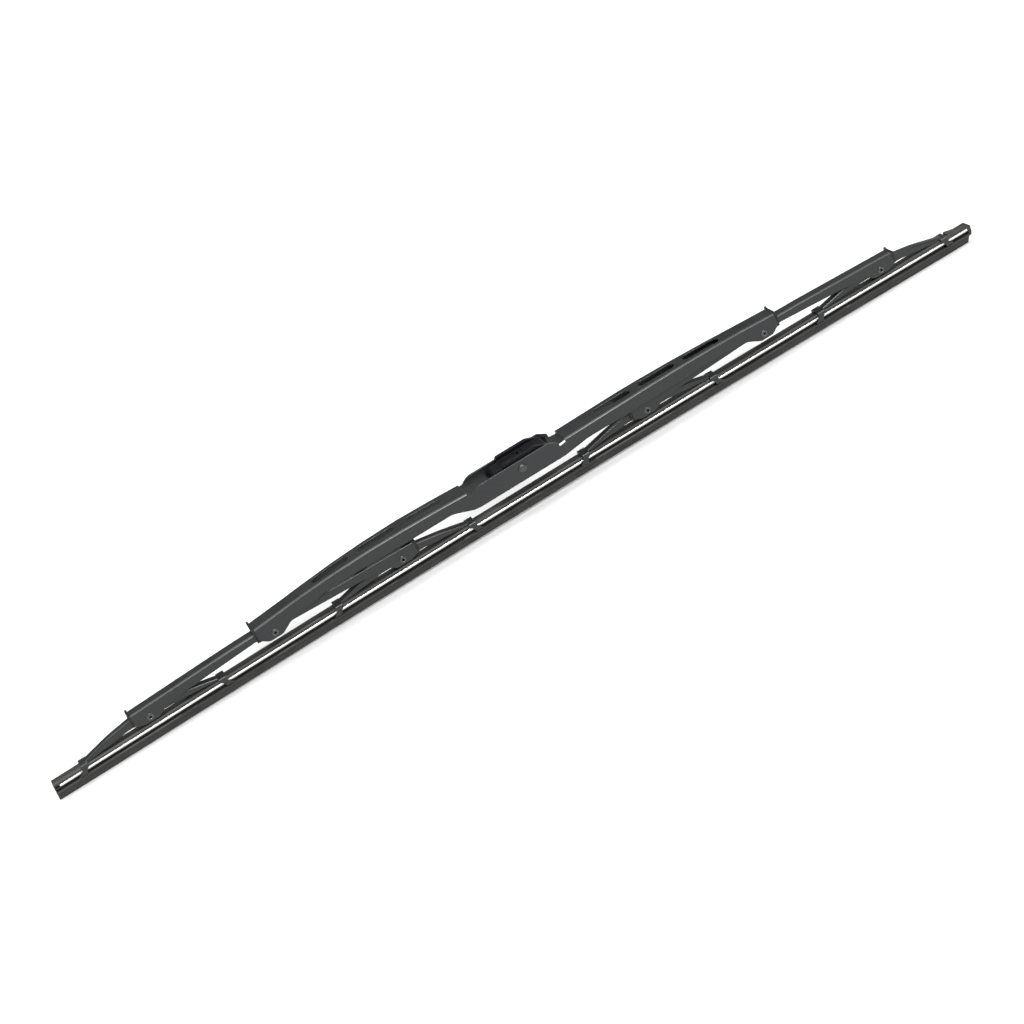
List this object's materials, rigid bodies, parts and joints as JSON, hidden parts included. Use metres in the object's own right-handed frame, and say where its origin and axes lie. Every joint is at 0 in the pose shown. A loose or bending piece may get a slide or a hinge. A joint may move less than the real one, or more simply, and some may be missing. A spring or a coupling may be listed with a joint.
{
  "type": "wiper blade",
  "caption": "Bracket-type wiper blade: a bowed pressed-steel bridge on rocking levers and claw yokes presses a spring-backed rubber strip to the glass; a clip adapter takes a hook arm.",
  "frame": {"origin": "middle of the cross pin, on the axis about which the blade rocks on the wiper arm", "axes": "+X along the blade towards the lower bridge arm, +Y across the blade, +Z away from the glass"},
  "size_m": [0.6026, 0.0198, 0.0371],
  "materials": {
    "frame_paint": "satin black electro-coat",
    "zinc": "blackened zinc, worn bright at the rim",
    "liner_plastic": "matt black moulded",
    "adapter_plastic": "black moulded, slight sheen",
    "rubber": "matt, slightly chalky",
    "strip_steel": "bright rolled stainless"
  },
  "bodies": {
    "adapter": {"hook_adapter": "adapter_plastic"},
    "bridge": {"primary_bridge": "frame_paint", "cross_pin": "zinc", "bridge_rivet_left": "zinc", "bridge_rivet_right": "zinc", "bridge_liner_left": "liner_plastic", "bridge_liner_right": "liner_plastic", "wiper_rubber": "rubber", "backing_strip_front": "strip_steel", "backing_strip_back": "strip_steel"},
    "lever_left": {"secondary_lever_left": "frame_paint", "lever_rivet_outer_left": "zinc", "lever_rivet_inner_left": "zinc", "lever_liner_outer_left": "liner_plastic", "lever_liner_inner_left": "liner_plastic"},
    "lever_right": {"secondary_lever_right": "frame_paint", "lever_rivet_outer_right": "zinc", "lever_rivet_inner_right": "zinc", "lever_liner_outer_right": "liner_plastic", "lever_liner_inner_right": "liner_plastic"},
    "yoke_outer_left": {"yoke_outer_left": "frame_paint"},
    "yoke_inner_left": {"yoke_inner_left": "frame_paint"},
    "yoke_outer_right": {"yoke_outer_right": "frame_paint"},
    "yoke_inner_right": {"yoke_inner_right": "frame_paint"}
  },
  "joints": [
    {"name": "blade_rock", "type": "hinge", "parent": "adapter", "child": "bridge", "pos_m": [0, 0, 0], "axis": [0, 1, 0], "range_deg": [-18, 18]},
    {"name": "lever_left_rock", "type": "hinge", "parent": "bridge", "child": "lever_left", "pos_m": [-0.1605, 0, -0.00839], "axis": [0, -1, 0], "range_deg": [-2.5, 3.5], "stiffness_Nm_per_rad": 1.4, "deforming": ["wiper_rubber", "backing_strip_front", "backing_strip_back"]},
    {"name": "lever_right_rock", "type": "hinge", "parent": "bridge", "child": "lever_right", "pos_m": [0.1585, 0, -0.00839], "axis": [0, 1, 0], "range_deg": [-2.5, 3.5], "deforming": ["wiper_rubber", "backing_strip_front", "backing_strip_back"]},
    {"name": "yoke_outer_left_rock", "type": "hinge", "parent": "lever_left", "child": "yoke_outer_left", "pos_m": [-0.24, 0, -0.01356], "axis": [0, -1, 0], "range_deg": [-1.3, 1.8], "deforming": ["wiper_rubber", "backing_strip_front", "backing_strip_back"]},
    {"name": "yoke_inner_left_rock", "type": "hinge", "parent": "lever_left", "child": "yoke_inner_left", "pos_m": [-0.081, 0, -0.01222], "axis": [0, -1, 0], "range_deg": [-1.8, 1.3], "deforming": ["wiper_rubber", "backing_strip_front", "backing_strip_back"]},
    {"name": "yoke_outer_right_rock", "type": "hinge", "parent": "lever_right", "child": "yoke_outer_right", "pos_m": [0.238, 0, -0.01356], "axis": [0, 1, 0], "range_deg": [-1.3, 1.8], "deforming": ["wiper_rubber", "backing_strip_front", "backing_strip_back"]},
    {"name": "yoke_inner_right_rock", "type": "hinge", "parent": "lever_right", "child": "yoke_inner_right", "pos_m": [0.079, 0, -0.01222], "axis": [0, 1, 0], "range_deg": [-1.8, 1.3], "deforming": ["wiper_rubber", "backing_strip_front", "backing_strip_back"]}
  ],
  "couplings": [
    {"joint": "lever_right_rock", "follows": "lever_left_rock", "ratio": 1},
    {"joint": "yoke_outer_left_rock", "follows": "lever_left_rock", "ratio": 0.49843},
    {"joint": "yoke_inner_left_rock", "follows": "lever_left_rock", "ratio": -0.49843},
    {"joint": "yoke_outer_right_rock", "follows": "lever_left_rock", "ratio": 0.49843},
    {"joint": "yoke_inner_right_rock", "follows": "lever_left_rock", "ratio": -0.49843}
  ]
}
